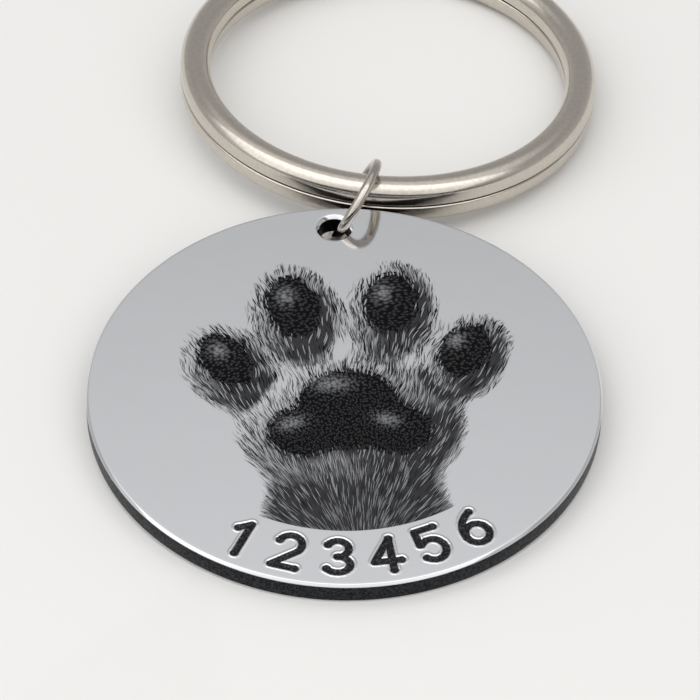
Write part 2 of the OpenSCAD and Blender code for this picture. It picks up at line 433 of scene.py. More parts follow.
@dataclass(frozen=True)
class PawPicture:
    """A raised paw: furred toes and palm with bare pads, cut off by an arc below.

    Places and widths are in mm from the tag's middle. A tone of 0 is bare metal and one
    of 1 is full black.
    """

    toes: tuple[Oval, ...] = (
        Oval(-7.2, 1.9, 3.1, 4.4, 26),
        Oval(-2.9, 6.4, 3.3, 4.9, 8),
        Oval(3.2, 6.5, 3.3, 4.9, -8),
        Oval(7.6, 2.2, 3.1, 4.4, -26),
    )
    palm: Oval = Oval(0.2, -3.2, 7.5, 6.2)
    leg: Oval = Oval(0.3, -12.0, 6.2, 9.5)
    toe_pads: tuple[Oval, ...] = (
        Oval(-7.3, 2.6, 1.7, 2.5, 26),
        Oval(-2.95, 7.1, 1.85, 2.8, 8),
        Oval(3.25, 7.2, 1.85, 2.8, -8),
        Oval(7.7, 2.9, 1.7, 2.5, -26),
    )
    palm_pad: tuple[Oval, ...] = (
        Oval(0.2, -1.3, 3.3, 2.9),
        Oval(-2.7, -3.6, 2.35, 2.2, 20),
        Oval(3.1, -3.6, 2.35, 2.2, -20),
        Oval(0.2, -3.6, 2.8, 1.7),
    )
    # Soft lights on the pads
    sheens: tuple[Oval, ...] = (
        Oval(-7.75, 3.4, 0.6, 0.8, 26),
        Oval(-3.4, 8.0, 0.65, 0.9, 8),
        Oval(2.8, 8.1, 0.65, 0.9, -8),
        Oval(7.2, 3.8, 0.6, 0.8, -26),
        Oval(-0.8, 0.3, 1.3, 0.7),
        Oval(-3.4, -2.9, 0.95, 0.6, 20),
        Oval(2.5, -2.8, 0.85, 0.55, -20),
    )
    # Radius of the arc, round the tag's middle, that cuts the picture off
    cut_radius: float = 11.75
    # Point that the hairs fan out from, and the radius at which they keep their width
    fan_x: float = 0.5
    fan_y: float = -15.0
    fan_radius: float = 16.0
    # Waves that bend the hairs: reach, and turn for each mm along and across them
    bends: tuple[tuple[float, float, float], ...] = ((0.14, 0.9, 1.0), (0.05, 2.3, 2.0))
    # Way towards the light that the picture is drawn in, and how round its parts swell
    light: tuple[float, float, float] = (-0.5, 0.6, 0.62)
    palm_swell: float = 0.75
    toe_swell: float = 0.85
    # Widths of the rounded seams where shapes join
    pad_seam: float = 0.7
    leg_seam: float = 1.5
    toe_seam: float = 0.9
    # Tone of unlit fur, and what full light takes off it and how sharply
    unlit_tone: float = 1.02
    light_tone: float = 0.85
    light_power: float = 1.3
    # Tone that a crease between two parts adds, its width, and the depths between which it grows
    crease_tone: float = 0.8
    crease_width: float = 0.55
    crease_depths: tuple[float, float] = (-0.7, 0.3)
    # Tone that the fur gains beside a pad, and how far that reaches
    pad_shadow: float = 0.3
    pad_shadow_width: float = 0.6
    # Tone that the leg gains downwards, and the two heights between which it does
    leg_shadow: float = 0.45
    leg_heights: tuple[float, float] = (-7.0, -11.5)
    # Least tone of the fur, and the depths between which it fades in from its fringe
    least_tone: float = 0.05
    fringe_depths: tuple[float, float] = (-0.05, 1.0)
    # Tone of a pad's skin, and what a sheen takes off it
    skin_tone: float = 0.98
    sheen_tone: float = 0.42

    def shapes(self, points: np.ndarray) -> np.ndarray:
        """Measures how the hairs flow and where the pads are.

        Args:
            points: Places in the picture.

        Returns:
            For each place, its way across the hairs, along them, and its depth in a pad.
        """
        x, y = points[:, 0] - self.fan_x, points[:, 1] - self.fan_y
        across, along = np.arctan2(x, y) * self.fan_radius, np.hypot(x, y)
        bent = across
        for reach, turn_along, turn_across in self.bends:
            bent = bent + reach * np.sin(turn_along * along + turn_across * across)
        return np.column_stack([bent, along, self.pad_depth(points)])

    def pad_depth(self, points: np.ndarray) -> np.ndarray:
        """How deep each place lies inside a pad.

        Args:
            points: Places in the picture.

        Returns:
            Depths in mm, negative in the fur.
        """
        depth = self.palm_pad[0].depth(points)
        for oval in self.palm_pad[1:]:
            depth = joined(depth, oval.depth(points), self.pad_seam)
        for oval in self.toe_pads:
            depth = np.maximum(depth, oval.depth(points))
        return depth

    def tones(self, points: np.ndarray) -> np.ndarray:
        """Works out how dark the picture is.

        Args:
            points: Places in the picture.

        Returns:
            For each place, the tone of fur there, the tone of a pad there, and the depth
            inside the cutting arc.
        """
        light = np.array(self.light) / np.linalg.norm(self.light)
        palm = joined(self.palm.depth(points), self.leg.depth(points), self.leg_seam)
        lit = self.palm.lit(points, light, self.palm_swell)
        fur, deepest = palm, palm
        lobes = [palm]
        for toe in self.toes:
            depth = toe.depth(points)
            lobes.append(depth)
            fur = joined(fur, depth, self.toe_seam)
            lit = np.where(depth > deepest, toe.lit(points, light, self.toe_swell), lit)
            deepest = np.maximum(deepest, depth)
        second, first = np.sort(np.array(lobes), axis=0)[-2:]
        crease = np.exp(-(((first - second) / self.crease_width) ** 2))
        crease = crease * smooth_share(*self.crease_depths, second)
        dark = self.unlit_tone - self.light_tone * np.clip(lit, 0, 1) ** self.light_power
        dark = dark + self.crease_tone * crease
        off_pad = np.clip(-self.pad_depth(points), 0, None)
        dark = dark + self.pad_shadow * np.exp(-off_pad / self.pad_shadow_width)
        dark = dark + self.leg_shadow * smooth_share(*self.leg_heights, points[:, 1])
        dark = np.clip(dark, self.least_tone, 1.0) * smooth_share(*self.fringe_depths, fur)
        sheen = np.max([np.exp(-np.sum(s.local(points) ** 2, axis=1)) for s in self.sheens], axis=0)
        inside = self.cut_radius - np.linalg.norm(points, axis=1)
        return np.column_stack([dark, self.skin_tone - self.sheen_tone * sheen, inside])


@dataclass(frozen=True)
class HairFlow:
    """How the picture's hairs flow, as values in a material's tree.

    The two values are each place's way across the hairs and along them, in mm.
    """

    tree: bpy.types.NodeTree
    across: bpy.types.NodeSocket
    along: bpy.types.NodeSocket


@dataclass(frozen=True)
class HairLayer:
    """A layer of tapered hairs in the picture, as cells of a stretched pattern."""

    # Width and length of a hair in mm, and how far it leans aside for each mm along
    width: float
    length: float
    lean: float
    # Offset in cells that sets the layer's pattern apart
    seed: float
    # Distances from a cell's middle, as shares of the cell, where a hair starts and is full
    rim_share: float = 0.46
    core_share: float = 0.28

    def build(self, flow: HairFlow) -> tuple[bpy.types.Node, bpy.types.NodeSocket, bpy.types.NodeSocket]:
        """Adds the layer's nodes.

        Args:
            flow: The hairs' flow.

        Returns:
            The hairs' shapes, and two chances that are one number for each hair.
        """
        tree = flow.tree
        leant = add_node(tree, "Math", (flow.along, self.lean, flow.across), operation="MULTIPLY_ADD")
        u = add_node(tree, "Math", (leant, 1 / self.width, self.seed), operation="MULTIPLY_ADD")
        v = add_node(tree, "Math", (flow.along, 1 / self.length, self.seed), operation="MULTIPLY_ADD")
        place = add_node(tree, "CombineXYZ", (u, v))
        cells = add_node(tree, "TexVoronoi", {"Vector": place, "Scale": 1.0}, voronoi_dimensions="2D")
        spans = (cells.outputs["Distance"], self.rim_share, self.core_share)
        spindle = add_node(tree, "MapRange", spans, interpolation_type="SMOOTHSTEP")
        chances = add_node(tree, "SeparateColor", (cells.outputs["Color"],))
        return spindle, chances.outputs[0], chances.outputs[1]


@dataclass(frozen=True)
class LaserMark:
    """The dry black that a marking laser leaves, laid down hair by hair.

    A tone of 0 is bare metal and one of 1 is full black. Widths are in mm.
    """

    dark_hairs: tuple[HairLayer, ...] = (
        HairLayer(0.085, 1.3, 0.12, 3.0),
        HairLayer(0.075, 1.1, -0.14, 17.0),
        HairLayer(0.11, 1.7, 0.02, 41.0),
    )
    pale_hairs: HairLayer = HairLayer(0.08, 1.2, -0.1, 71.0)
    lapping_hairs: HairLayer = HairLayer(0.1, 1.0, 0.06, 29.0)
    # Black of the ground under the hairs, and the power by which it follows the fur's tone
    ground_tone: float = 0.8
    ground_power: float = 3.0
    # Tone of the fur at which its hairs are at full strength
    full_hair_tone: float = 0.35
    # A hair is drawn where the fur's tone times this passes its chance, eased by so much
    hair_reach: float = 1.15
    hair_ease: float = 0.06
    faintest_hair: float = 0.45
    # Share of pale hairs in the palest fur, how much less it is in the blackest, and how
    # much of the black a pale hair takes off
    pale_share: float = 0.6
    pale_drop: float = 0.3
    pale_strength: float = 0.7
    # How far hairs lap over a pad, and how far its edge softens on either side
    lap: float = 0.32
    pad_softness: float = 0.03
    # How far in the picture softens at the cutting arc
    arc_softness: float = 0.04
    # Width of a pebble of the pads' skin, what it adds from its middle out, and what its
    # middle lacks
    pebble: float = 0.22
    pebble_rise: float = 0.5
    pebble_drop: float = 0.24
    # The eye sees little bare metal as pale, so the share of bare metal falls off fast
    bare_power: float = 1.7

    def build(self, tree: bpy.types.NodeTree) -> bpy.types.Node:
        """Adds the nodes that draw the picture.

        Args:
            tree: The material's tree.

        Returns:
            The node that says how black each place is.
        """
        across, along, pad = self.stored(tree, SHAPES_LAYER)
        fur, skin, inside = self.stored(tree, TONES_LAYER)
        flow = HairFlow(tree, across, along)
        dark = self.coat(flow, fur)
        lapping = self.lapping_hairs.build(flow)[0]
        pad = add_node(tree, "Math", (lapping, -self.lap, pad), operation="MULTIPLY_ADD")
        spans = (pad, -self.pad_softness, self.pad_softness)
        on_pad = add_node(tree, "MapRange", spans, interpolation_type="SMOOTHSTEP")
        dark = add_node(tree, "Mix", {0: on_pad, 2: dark, 3: self.pad_skin(flow, skin)})
        kept = add_node(tree, "MapRange", (inside, 0.0, self.arc_softness))
        dark = add_node(tree, "Math", (dark, kept), operation="MULTIPLY")
        bare = add_node(tree, "Math", (1.0, dark), operation="SUBTRACT", use_clamp=True)
        bare = add_node(tree, "Math", (bare, self.bare_power), operation="POWER")
        return add_node(tree, "Math", (1.0, bare), operation="SUBTRACT")

    def stored(self, tree: bpy.types.NodeTree, layer: str) -> tuple[bpy.types.NodeSocket, ...]:
        """Adds the nodes that read the three numbers that each point carries under a name."""
        numbers = add_node(tree, "Attribute", attribute_name=layer).outputs["Vector"]
        return tuple(add_node(tree, "SeparateXYZ", (numbers,)).outputs)

    def coat(self, flow: HairFlow, fur: bpy.types.NodeSocket) -> bpy.types.Node:
        """Adds the fur: its soft ground, the dark hairs on it and the pale ones over them.

        Args:
            flow: The hairs' flow.
            fur: Tone of the fur.

        Returns:
            The node that says how black the fur is.
        """
        tree = flow.tree
        dark = add_node(tree, "Math", (fur, self.ground_power), operation="POWER")
        dark = add_node(tree, "Math", (dark, self.ground_tone), operation="MULTIPLY")
        spans = (fur, 0.0, self.full_hair_tone)
        present = add_node(tree, "MapRange", spans, interpolation_type="SMOOTHSTEP")
        for layer in self.dark_hairs:
            hair, chance, weight = layer.build(flow)
            over = add_node(tree, "Math", (fur, self.hair_reach), operation="MULTIPLY")
            over = add_node(tree, "Math", (over, chance), operation="SUBTRACT")
            spans = (over, -self.hair_ease, self.hair_ease)
            drawn = add_node(tree, "MapRange", spans, interpolation_type="SMOOTHSTEP")
            weights = (weight, 1 - self.faintest_hair, self.faintest_hair)
            strength = add_node(tree, "Math", weights, operation="MULTIPLY_ADD")
            for share in (drawn, strength, present):
                hair = add_node(tree, "Math", (hair, share), operation="MULTIPLY")
            dark = add_node(tree, "Math", (dark, hair), operation="MAXIMUM")
        hair, chance, _ = self.pale_hairs.build(flow)
        limit = add_node(tree, "Math", (fur, -self.pale_drop, self.pale_share), operation="MULTIPLY_ADD")
        pale = add_node(tree, "Math", (chance, limit), operation="LESS_THAN")
        pale = add_node(tree, "Math", (pale, hair), operation="MULTIPLY")
        kept = add_node(tree, "Math", (pale, -self.pale_strength, 1.0), operation="MULTIPLY_ADD")
        return add_node(tree, "Math", (dark, kept), operation="MULTIPLY")

    def pad_skin(self, flow: HairFlow, skin: bpy.types.NodeSocket) -> bpy.types.Node:
        """Adds the pebbled skin of the pads.

        Args:
            flow: The hairs' flow.
            skin: Tone of the skin.

        Returns:
            The node that says how black the skin is.
        """
        tree = flow.tree
        place = add_node(tree, "CombineXYZ", (flow.across, flow.along))
        cells = {"Vector": place, "Scale": 1 / self.pebble}
        pebbles = add_node(tree, "TexVoronoi", cells, voronoi_dimensions="2D")
        domed = add_node(tree, "Math", (pebbles, self.pebble_rise, skin), operation="MULTIPLY_ADD")
        return add_node(tree, "Math", (domed, self.pebble_drop), operation="SUBTRACT", use_clamp=True)


@dataclass(frozen=True)
class PolishedAluminium:
    """Polished aluminium sheet with a picture marked black into its skin.

    The sheet is a soft mirror, a little wavy from the polishing wheel and lightly
    scuffed from handling. The mark is dry and mirrors nothing sharply.
    """

    metal: str = "#e3e4e7"
    mark: str = "#161618"
    metal_roughness: float = 0.09
    mark_roughness: float = 0.62
    # What a scuff takes off the metal's roughness at most, and what it adds
    scuff_smooth: float = 0.02
    scuff_rough: float = 0.03
    # Width and height in mm of the polishing wheel's waves, and how much of them shows
    wave: float = 2.4
    wave_height: float = 0.2
    wave_share: float = 0.02
    # The same for the scuffs
    scuff: float = 0.35
    scuff_height: float = 0.05
    scuff_share: float = 0.015
    picture: LaserMark = LaserMark()

    def build(self) -> bpy.types.Material:
        """Builds the material."""
        finish, tree, surface = new_material("polished_aluminium")
        ink = self.picture.build(tree)
        places = add_node(tree, "TexCoord").outputs["Object"]
        scuffs = add_node(tree, "TexNoise", {"Vector": places, "Scale": per_mm(self.scuff), "Detail": 4.0})
        waves = add_node(tree, "TexNoise", {"Vector": places, "Scale": per_mm(self.wave), "Detail": 2.0})
        least, most = self.metal_roughness - self.scuff_smooth, self.metal_roughness + self.scuff_rough
        rough = add_node(tree, "MapRange", (scuffs, *NOISE_SPAN, least, most))
        rough = add_node(tree, "Mix", {0: ink, 2: rough, 3: self.mark_roughness})
        colours = {0: ink, 6: linear(self.metal), 7: linear(self.mark)}
        colour = add_node(tree, "Mix", colours, data_type="RGBA").outputs[2]
        relief = {"Height": waves, "Strength": self.wave_share, "Distance": self.wave_height * MM}
        uneven = add_node(tree, "Bump", relief)
        relief = {"Height": scuffs, "Strength": self.scuff_share, "Distance": self.scuff_height * MM}
        grain = add_node(tree, "Bump", {**relief, "Normal": uneven})
        looks = {"Metallic": 1.0, "Base Color": colour, "Roughness": rough, "Normal": grain}
        set_inputs(tree, surface, looks)
        return finish


@dataclass(frozen=True)
class MetalFinish:
    """A bare or plated metal with an uneven skin and fine marks from handling."""

    name: str
    colour: str
    shade: str
    roughness: float
    # How far the roughness goes up and down with the fine marks
    spread: float
    # Widths in mm of the broad unevenness and of the fine marks, and then their heights
    wave: float
    grain: float
    wave_height: float
    grain_height: float

    def build(self) -> bpy.types.Material:
        """Builds the material."""
        finish, tree, surface = new_material(self.name)
        places = add_node(tree, "TexCoord").outputs["Object"]
        waves = add_node(tree, "TexNoise", {"Vector": places, "Scale": per_mm(self.wave), "Detail": 2.0})
        marks = add_node(tree, "TexNoise", {"Vector": places, "Scale": per_mm(self.grain), "Detail": 5.0})
        worn = add_node(tree, "MapRange", (marks, *TINT_SPAN))
        colours = {0: worn, 6: linear(self.colour), 7: linear(self.shade)}
        colour = add_node(tree, "Mix", colours, data_type="RGBA").outputs[2]
        least, most = self.roughness - self.spread, self.roughness + self.spread
        rough = add_node(tree, "MapRange", (marks, *NOISE_SPAN, least, most))
        uneven = add_node(tree, "Bump", {"Height": waves, "Distance": self.wave_height * MM})
        relief = {"Height": marks, "Distance": self.grain_height * MM, "Normal": uneven}
        grain = add_node(tree, "Bump", relief)
        looks = {"Metallic": 1.0, "Base Color": colour, "Roughness": rough, "Normal": grain}
        set_inputs(tree, surface, looks)
        return finish


# The blank's punched edge is dull and darker than its face, with fine tearing marks. Its near-black colour
# is partly painted shade and painted dark reflection: it stands in for the shade down the hole's wall and
# the dark surroundings that the rim's wall mirrors
CUT_EDGE_PAINTED_SHADE = MetalFinish(
    "punched_aluminium_edge_painted_shade",
    colour="#38393c",
    shade="#141517",
    roughness=0.42,
    spread=0.1,
    wave=0.8,
    grain=0.15,
    wave_height=0.014,
    grain_height=0.015,
)
# Nickel plate on tumbled steel is warm grey, bright and slightly wavy
NICKEL_PLATE = MetalFinish(
    "nickel_plate",
    colour="#cfc8be",
    shade="#c8c1b7",
    roughness=0.19,
    spread=0.03,
    wave=1.6,
    grain=0.25,
    wave_height=0.006,
    grain_height=0.0012,
)
# Drawn steel wire is a little darker, with fine draw marks
DRAWN_STEEL = MetalFinish(
    "drawn_steel",
    colour="#c4bdb5",
    shade="#b4ada5",
    roughness=0.12,
    spread=0.03,
    wave=0.9,
    grain=0.12,
    wave_height=0.004,
    grain_height=0.0012,
)


@dataclass(frozen=True)
class BlackEnamel:
    """Black enamel wiped into the stamped numerals.

    It dries a little rough, with grey dust in its grains and a weak shine.
    """

    colour: str = "#08080a"
    dust: str = "#545456"
    roughness: float = 0.34
    shine: float = 0.2
    # Width and height of the grains in the dried skin, mm
    grain: float = 0.14
    grain_height: float = 0.02
    # Values of the grains' noise where dust starts and is thickest, and its share there
    dust_span: tuple[float, float] = (0.5, 0.72)
    dust_share: float = 0.8

    def build(self) -> bpy.types.Material:
        """Builds the material."""
        finish, tree, surface = new_material("black_enamel")
        places = add_node(tree, "TexCoord").outputs["Object"]
        grains = add_node(tree, "TexNoise", {"Vector": places, "Scale": per_mm(self.grain), "Detail": 3.0})
        dusty = add_node(tree, "MapRange", (grains, *self.dust_span, 0.0, self.dust_share))
        colours = {0: dusty, 6: linear(self.colour), 7: linear(self.dust)}
        colour = add_node(tree, "Mix", colours, data_type="RGBA").outputs[2]
        skin = add_node(tree, "Bump", {"Height": grains, "Distance": self.grain_height * MM})
        looks = {"Roughness": self.roughness, "Specular IOR Level": self.shine}
        set_inputs(tree, surface, {**looks, "Base Color": colour, "Normal": skin})
        return finish


@dataclass(frozen=True)
class StudioPaint:
    """Matt pale paint of the studio's floor, which takes soft shadows and no mirror images."""

    colour: str = "#e6e5e3"
    roughness: float = 0.7

    def build(self) -> bpy.types.Material:
        """Builds the material."""
        finish, tree, surface = new_material("studio_paint")
        set_inputs(tree, surface, {"Base Color": linear(self.colour), "Roughness": self.roughness})
        return finish


def arc(
    x: float, y: float, half_w: float, half_h: float, first: float, last: float
) -> list[tuple[float, float]]:
    """Points of an oval arc between two angles in degrees."""
    angles = np.radians(np.linspace(first, last, ARC_POINTS))
    return list(zip(x + half_w * np.cos(angles), y + half_h * np.sin(angles)))


# Strokes of the plain numerals, as shares of the numeral's height about its middle
NUMERAL_SHARES: dict[str, list[list[tuple[float, float]]]] = {
    "1": [[(-0.2, 0.27), (0.06, 0.5), (0.06, -0.5)]],
    "2": [arc(0.0, 0.21, 0.29, 0.29, 165, -35) + [(-0.3, -0.5), (0.31, -0.5)]],
    "3": [arc(-0.03, 0.25, 0.27, 0.25, 150, -90), arc(-0.03, -0.25, 0.31, 0.25, 90, -150)],
    "4": [[(0.12, 0.5), (-0.32, -0.2), (0.34, -0.2)], [(0.12, 0.5), (0.12, -0.5)]],
    "5": [[(0.27, 0.5), (-0.22, 0.5), (-0.26, 0.06)] + arc(0.0, -0.17, 0.31, 0.33, 138, -145)],
    "6": [arc(0.42, -0.15, 0.72, 0.67, 108, 180) + arc(0.0, -0.19, 0.3, 0.31, 180, 540)],
}


@dataclass(frozen=True)
class Stamp:
    """One blow of a numeral punch: which numeral, where round the rim, and how true.

    Angles are in degrees, drift is outwards in mm, and force is the depth as a share of
    the full one.
    """

    numeral: str
    angle: float
    tilt: float
    drift: float
    force: float


@dataclass(frozen=True)
class StampedBand:
    """The strip along the tag's near edge that takes the numerals and their enamel.

    Sizes are in mm and angles in degrees, all round the tag's middle.
    """

    stamps: tuple[Stamp, ...] = (
        Stamp("1", -119.2, 2.0, 0.03, 1.0),
        Stamp("2", -106.8, -1.5, -0.02, 0.92),
        Stamp("3", -94.0, 1.0, 0.0, 1.04),
        Stamp("4", -82.2, -2.0, 0.04, 0.95),
        Stamp("5", -70.6, 1.5, -0.03, 1.0),
        Stamp("6", -58.6, -1.0, 0.02, 0.9),
    )
    inner_radius: float = 11.95
    outer_radius: float = 15.5
    first_angle: float = -126.5
    last_angle: float = -51.5
    # Radius of the line through the numerals' middles, their height and half a stroke
    row_radius: float = 13.72
    height: float = 2.45
    half_stroke: float = 0.245
    # A groove's depth, and the width of its sloping wall
    depth: float = 0.24
    wall: float = 0.1
    # The metal pushed up beside a groove: its height, how far off it is, and its width
    lip: float = 0.027
    lip_reach: float = 0.075
    lip_width: float = 0.05
    # How much further a stroke's ends reach, and the waves that a worn punch leaves
    end_swell: float = 0.03
    wear: float = 0.012
    wear_wave: float = 0.45
    # How far the enamel lies under the face beside the wall, how much further it sinks by
    # the middle and over what width, and how deep it is bedded in the metal
    fill_drop: float = 0.02
    fill_sink: float = 0.075
    fill_slope: float = 0.2
    bedding: float = 0.02
    # Height and length of the waves in the dried enamel
    skin: float = 0.008
    skin_wave: float = 0.3
    # Distance between the strip's points
    cell: float = 0.04

    def grid(self) -> np.ndarray:
        """Places of the strip's points by row, along the rim, and column, outwards."""
        rows = round(math.radians(self.last_angle - self.first_angle) * self.row_radius / self.cell)
        columns = round((self.outer_radius - self.inner_radius) / self.cell)
        angles = np.radians(np.linspace(self.first_angle, self.last_angle, rows + 1))[:, None]
        radii = np.linspace(self.inner_radius, self.outer_radius, columns + 1)[None, :]
        return np.stack([radii * np.cos(angles), radii * np.sin(angles)], axis=-1)

    def distance(self, stamp: Stamp, points: np.ndarray) -> np.ndarray:
        """Distance of each place from the middle of the stamp's nearest stroke.

        Args:
            stamp: The blow.
            points: Places on the tag in mm, one a row.

        Returns:
            Distances in mm, made a little uneven as a worn punch leaves them.
        """
        angle, upright = math.radians(stamp.angle), math.radians(stamp.angle + 90 + stamp.tilt)
        middle = np.array([math.cos(angle), math.sin(angle)])
        local = points - middle * (self.row_radius + stamp.drift)
        right = np.array([math.cos(upright), math.sin(upright)])
        up = np.array([-math.sin(upright), math.cos(upright)])
        local = np.column_stack([local @ right, local @ up])
        nearest = np.full(len(points), np.inf)
        for stroke in NUMERAL_SHARES[stamp.numeral]:
            path = np.array(stroke) * self.height
            ways = np.diff(path, axis=0)
            gaps = local[:, None] - path[:-1]
            share = np.clip(np.einsum("psk,sk->ps", gaps, ways) / np.sum(ways**2, axis=1), 0, 1)
            away = np.linalg.norm(gaps - share[..., None] * ways, axis=2).min(axis=1)
            ends = np.linalg.norm(local[:, None] - path[[0, -1]], axis=2).min(axis=1) - self.end_swell
            nearest = np.minimum(nearest, np.minimum(away, ends))
        return nearest + self.wear * ripple(local + stamp.angle, self.wear_wave)

    def relief(self, points: np.ndarray) -> np.ndarray:
        """Height of the metal at each place: the struck grooves and the lips they push up.

        Args:
            points: Places on the tag in mm, one a row.

        Returns:
            Heights in mm above the face.
        """
        height = np.zeros(len(points))
        for stamp in self.stamps:
            away = self.distance(stamp, points)
            struck = smooth_share(0, self.wall, self.half_stroke - away)
            lip = np.exp(-(((away - self.half_stroke - self.lip_reach) / self.lip_width) ** 2))
            height += lip * self.lip * stamp.force - struck * self.depth * stamp.force
        return height


class TagSlot(IntEnum):
    """Material slots of the tag."""

    FACE = 0
    # The cut walls of rim and hole, whose near-black colour is painted shade and painted dark reflection
    CUT_EDGE_PAINTED_SHADE = 1


@dataclass(frozen=True)
class TagDisc:
    """The aluminium disc with its picture, its stamped numerals and their enamel.

    Sizes are in mm. In its own frame the middle of its back is the origin, and the hole
    is at +y.
    """

    placement: Placement
    diameter: float
    thickness: float = 1.5
    edge_break: float = 0.15
    corner_round: float = 0.05
    hole_radius: float = 1.0
    hole_middle: float = 14.1
    hole_break: float = 0.2
    # Flat metal that keeps the face's shading true round each rounded edge
    collar: float = 0.15
    # The round field of the picture, and the distance between its rings of points
    picture_radius: float = 11.9
    ring_step: float = 0.2
    # Points round the disc and round the hole
    columns: int = 384
    hole_columns: int = 128
    # Points this near the face and the picture's field carry the picture
    mark_reach: float = 0.01
    # Packed faces whose normals rise more than this are on the disc's face
    face_rise: float = 0.9
    band: StampedBand = StampedBand()
    picture: PawPicture = PawPicture()

    @classmethod
    def from_frame(cls, frame: dict) -> "TagDisc":
        """Reads the disc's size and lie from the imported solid.


        Returns:
            The disc, placed where the solid is.
        """
        low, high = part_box("tag_blank")
        mesh = frame["nodes"]["tag_blank"].data
        top = sum((p.normal * p.area for p in mesh.polygons if p.normal.z > cls.face_rise), Vector())
        z_way = top.normalized()
        x_way = Vector((1, 0, 0))
        y_way = z_way.cross(x_way).normalized()
        diameter = (high.x - low.x) / MM
        radius, lean = diameter / 2, math.atan2(-z_way.y, z_way.z)
        near = radius * math.cos(lean) + (cls.thickness - cls.edge_break) * math.sin(lean)
        rise = (radius - cls.edge_break) * math.sin(lean)
        middle = Vector(((low.x + high.x) / 2, low.y + near * MM, low.z + rise * MM))
        return cls(Placement(middle, x_way, y_way, z_way), diameter)

    def build(self) -> None:
        """Builds and dresses the disc, and then the enamel in each numeral."""
        disc = self.build_disc([PolishedAluminium().build(), CUT_EDGE_PAINTED_SHADE.build()])
        dress(disc, "tag", "tag_blank")
        finish = BlackEnamel().build()
        for order, stamp in enumerate(self.band.stamps, start=1):
            dress(self.build_enamel(f"enamel_{order}", stamp, finish), "tag")

    def build_disc(self, finishes: list[bpy.types.Material]) -> bpy.types.Object:
        """Builds the disc.

        Args:
            finishes: Materials, in the order of the slots.

        Returns:
            The disc's object.
        """
        shell = Shell()
        radius = self.diameter / 2
        rim = self.edge_outline(radius - self.edge_break, radius)
        hole = self.edge_outline(self.hole_radius + self.hole_break, self.hole_radius)
        self.add_edge(shell, self.revolved(rim, self.columns, 0.0))
        self.add_edge(shell, self.revolved(hole, self.hole_columns, self.hole_middle))
        self.add_picture_field(shell)
        strip = self.band.grid()
        places = strip.reshape(-1, 2)
        stamped = self.lifted(places, self.thickness + self.band.relief(places))
        shell.add_grid(stamped.reshape(*strip.shape[:2], 3))
        self.add_flats(shell, rim[0, 0], hole[0, 0], strip)
        disc = shell.build("tag_disc", self.placement, finishes)
        self.mark(disc)
        return disc

    def edge_outline(self, face_radius: float, wall_radius: float) -> np.ndarray:
        """Draws the outline over one broken edge, down the wall and under the other edge.

        Args:
            face_radius: Radius at which the flat face ends.
            wall_radius: Radius of the cut wall.

        Returns:
            Radius and height of each point of the outline.
        """
        inward = math.copysign(self.collar, face_radius - wall_radius)
        drop = abs(face_radius - wall_radius)
        corners = [
            (face_radius + inward, self.thickness),
            (face_radius, self.thickness),
            (wall_radius, self.thickness - drop),
            (wall_radius, drop),
            (face_radius, 0.0),
            (face_radius + inward, 0.0),
        ]
        return rounded(corners, self.corner_round)

    def revolved(self, outline: np.ndarray, columns: int, middle: float) -> np.ndarray:
        """Turns an outline round an upright axis.

        Args:
            outline: Radius and height of each point.
            columns: Points in each circle.
            middle: The y at which the axis stands.

        Returns:
            Points by row, down the outline, and column, round the axis.
        """
        rings = [circle(radius, columns, (0.0, middle)) for radius in outline[:, 0]]
        heights = np.repeat(outline[:, 1][:, None], columns, axis=1)
        return np.concatenate([np.array(rings), heights[..., None]], axis=2)

    def lifted(self, places: np.ndarray, heights: np.ndarray | float) -> np.ndarray:
        """Stands places of the plane at those heights."""
        return np.column_stack([places, np.broadcast_to(heights, len(places))])

    def add_edge(self, shell: Shell, grid: np.ndarray) -> None:
        """Adds an edge's polished breaks and the cut wall between them, which takes the near-black colour of
        painted shade.

        Args:
            shell: The disc's shell.
            grid: The edge's points, whose two middle rows are the ends of the wall.
        """
        half = len(grid) // 2
        shell.add_grid(grid[:half], ring=True)
        # The cut wall of the rim and of the hole gets the near-black edge colour, painted shade for the hole
        # and a painted dark reflection for the rim
        shell.add_grid(grid[half - 1 : half + 1], ring=True, slot=TagSlot.CUT_EDGE_PAINTED_SHADE)
        shell.add_grid(grid[half:], ring=True)

    def add_picture_field(self, shell: Shell) -> None:
        """Adds the round field that carries the picture, fine enough to hold its shapes.

        Args:
            shell: The disc's shell.
        """
        count = round(self.picture_radius / self.ring_step)
        radii = np.linspace(self.picture_radius, self.ring_step, count)
        outline = np.column_stack([radii, np.full(count, self.thickness)])
        rings = self.revolved(outline, self.columns, 0.0)
        shell.add_grid(rings, ring=True)
        hub = np.vstack([[0, 0, self.thickness], rings[-1]])
        spokes = [(0, 1 + i, 1 + (i + 1) % self.columns) for i in range(self.columns)]
        shell.add(hub, spokes)

